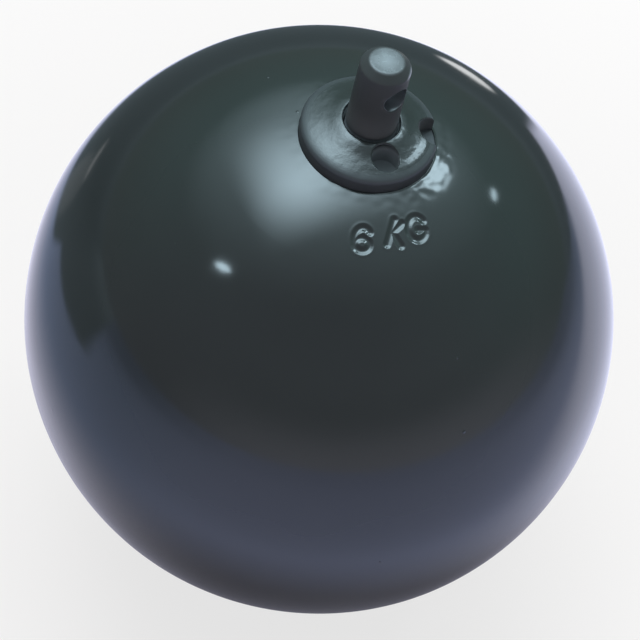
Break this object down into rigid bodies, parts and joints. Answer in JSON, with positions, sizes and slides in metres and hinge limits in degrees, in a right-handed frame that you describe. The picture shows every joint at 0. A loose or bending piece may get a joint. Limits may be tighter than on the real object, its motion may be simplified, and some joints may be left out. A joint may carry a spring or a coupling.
{
  "type": "throwing hammer head",
  "caption": "Gloss black iron ball with a flanged ball bearing swivel screwed into it; its short steel spindle turns freely and has a cross hole for a wire.",
  "frame": {"origin": "middle of the wire eye that is drilled across the spindle; the hammer hangs from it", "axes": "+Z along the spindle, out of the ball; X and Y are square to it, and the eye runs 39 degrees from +X towards -Y at rest"},
  "size_m": [0.116, 0.116, 0.1345],
  "materials": {
    "head_paint": "gloss black paint over cast iron",
    "plug_paint": "gloss black paint over turned steel",
    "spindle_steel": "darkened hardened steel, bare on its end face",
    "seal_rubber": "moulded rubber",
    "bush_bronze": "sintered bronze",
    "bearing_steel": "ground and polished bearing steel",
    "cage_brass": "stamped brass",
    "plain_steel": "zinc plated steel"
  },
  "bodies": {
    "head": {"head_ball": "head_paint", "swivel_plug": "plug_paint", "dust_seal": "seal_rubber", "spindle_bush": "bush_bronze", "housing_race": "bearing_steel"},
    "swivel": {"spindle": "spindle_steel", "shaft_race": "bearing_steel", "thrust_washer": "plain_steel", "castle_nut": "plain_steel", "split_pin": "plain_steel"},
    "cage": {"ball_cage": "cage_brass"},
    "ball_01": {"bearing_ball_01": "bearing_steel"},
    "ball_02": {"bearing_ball_02": "bearing_steel"},
    "ball_03": {"bearing_ball_03": "bearing_steel"},
    "ball_04": {"bearing_ball_04": "bearing_steel"},
    "ball_05": {"bearing_ball_05": "bearing_steel"},
    "ball_06": {"bearing_ball_06": "bearing_steel"},
    "ball_07": {"bearing_ball_07": "bearing_steel"},
    "ball_08": {"bearing_ball_08": "bearing_steel"},
    "ball_09": {"bearing_ball_09": "bearing_steel"},
    "ball_10": {"bearing_ball_10": "bearing_steel"}
  },
  "joints": [
    {"name": "spindle_spin", "type": "hinge", "parent": "head", "child": "swivel", "pos_m": [0, 0, 0], "axis": [0, 0, 1], "continuous": true},
    {"name": "cage_spin", "type": "hinge", "parent": "head", "child": "cage", "pos_m": [0, 0, -0.03857], "axis": [0, 0, 1], "continuous": true},
    {"name": "ball_roll_01", "type": "hinge", "parent": "cage", "child": "ball_01", "pos_m": [0.00709, 0, -0.03857], "axis": [1, 0, 0], "continuous": true},
    {"name": "ball_roll_02", "type": "hinge", "parent": "cage", "child": "ball_02", "pos_m": [0.00573, 0.00417, -0.03857], "axis": [0.809, 0.5878, 0], "continuous": true},
    {"name": "ball_roll_03", "type": "hinge", "parent": "cage", "child": "ball_03", "pos_m": [0.00219, 0.00674, -0.03857], "axis": [0.309, 0.9511, 0], "continuous": true},
    {"name": "ball_roll_04", "type": "hinge", "parent": "cage", "child": "ball_04", "pos_m": [-0.00219, 0.00674, -0.03857], "axis": [-0.309, 0.9511, 0], "continuous": true},
    {"name": "ball_roll_05", "type": "hinge", "parent": "cage", "child": "ball_05", "pos_m": [-0.00573, 0.00417, -0.03857], "axis": [-0.809, 0.5878, 0], "continuous": true},
    {"name": "ball_roll_06", "type": "hinge", "parent": "cage", "child": "ball_06", "pos_m": [-0.00709, 0, -0.03857], "axis": [-1, 0, 0], "continuous": true},
    {"name": "ball_roll_07", "type": "hinge", "parent": "cage", "child": "ball_07", "pos_m": [-0.00573, -0.00417, -0.03857], "axis": [-0.809, -0.5878, 0], "continuous": true},
    {"name": "ball_roll_08", "type": "hinge", "parent": "cage", "child": "ball_08", "pos_m": [-0.00219, -0.00674, -0.03857], "axis": [-0.309, -0.9511, 0], "continuous": true},
    {"name": "ball_roll_09", "type": "hinge", "parent": "cage", "child": "ball_09", "pos_m": [0.00219, -0.00674, -0.03857], "axis": [0.309, -0.9511, 0], "continuous": true},
    {"name": "ball_roll_10", "type": "hinge", "parent": "cage", "child": "ball_10", "pos_m": [0.00573, -0.00417, -0.03857], "axis": [0.809, -0.5878, 0], "continuous": true}
  ],
  "couplings": [
    {"joint": "cage_spin", "follows": "spindle_spin", "ratio": 0.5},
    {"joint": "ball_roll_01", "follows": "spindle_spin", "ratio": 2.2323},
    {"joint": "ball_roll_02", "follows": "spindle_spin", "ratio": 2.2323},
    {"joint": "ball_roll_03", "follows": "spindle_spin", "ratio": 2.2323},
    {"joint": "ball_roll_04", "follows": "spindle_spin", "ratio": 2.2323},
    {"joint": "ball_roll_05", "follows": "spindle_spin", "ratio": 2.2323},
    {"joint": "ball_roll_06", "follows": "spindle_spin", "ratio": 2.2323},
    {"joint": "ball_roll_07", "follows": "spindle_spin", "ratio": 2.2323},
    {"joint": "ball_roll_08", "follows": "spindle_spin", "ratio": 2.2323},
    {"joint": "ball_roll_09", "follows": "spindle_spin", "ratio": 2.2323},
    {"joint": "ball_roll_10", "follows": "spindle_spin", "ratio": 2.2323}
  ]
}
